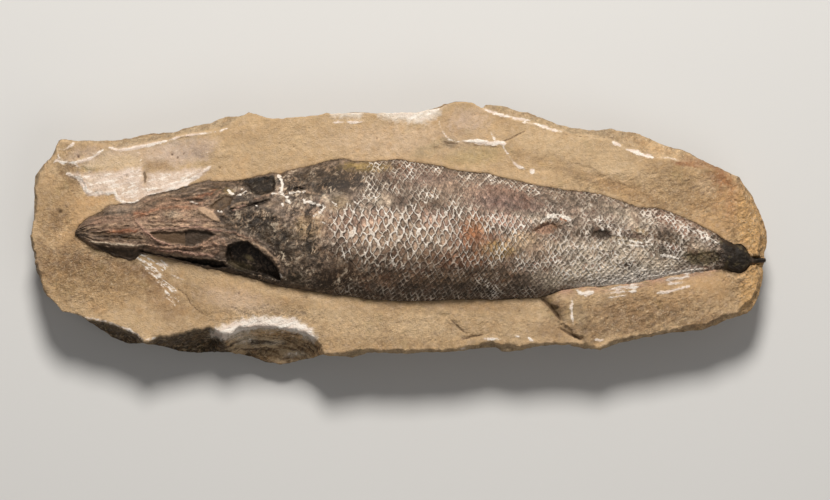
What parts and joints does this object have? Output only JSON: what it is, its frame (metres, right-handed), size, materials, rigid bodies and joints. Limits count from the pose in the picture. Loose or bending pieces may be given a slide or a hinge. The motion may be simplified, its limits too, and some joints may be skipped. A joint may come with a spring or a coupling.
{
  "type": "fossil fish nodule",
  "caption": "Split limestone concretion lying on its flat back, with a long scaled fish petrified in relief along its face.",
  "frame": {"origin": "middle of the nodule's footprint, on the surface it rests on", "axes": "+X from the snout to the tail, +Y towards the fish's back, +Z out of the split face"},
  "size_m": [0.2158, 0.0772, 0.0294],
  "materials": {
    "limestone": "matt, lightly grained, with white calcite veins",
    "petrified_fish": "slightly glossy brown-black bone and scales"
  },
  "bodies": {
    "root": {"nodule": "limestone", "fish": "petrified_fish"}
  },
  "joints": []
}
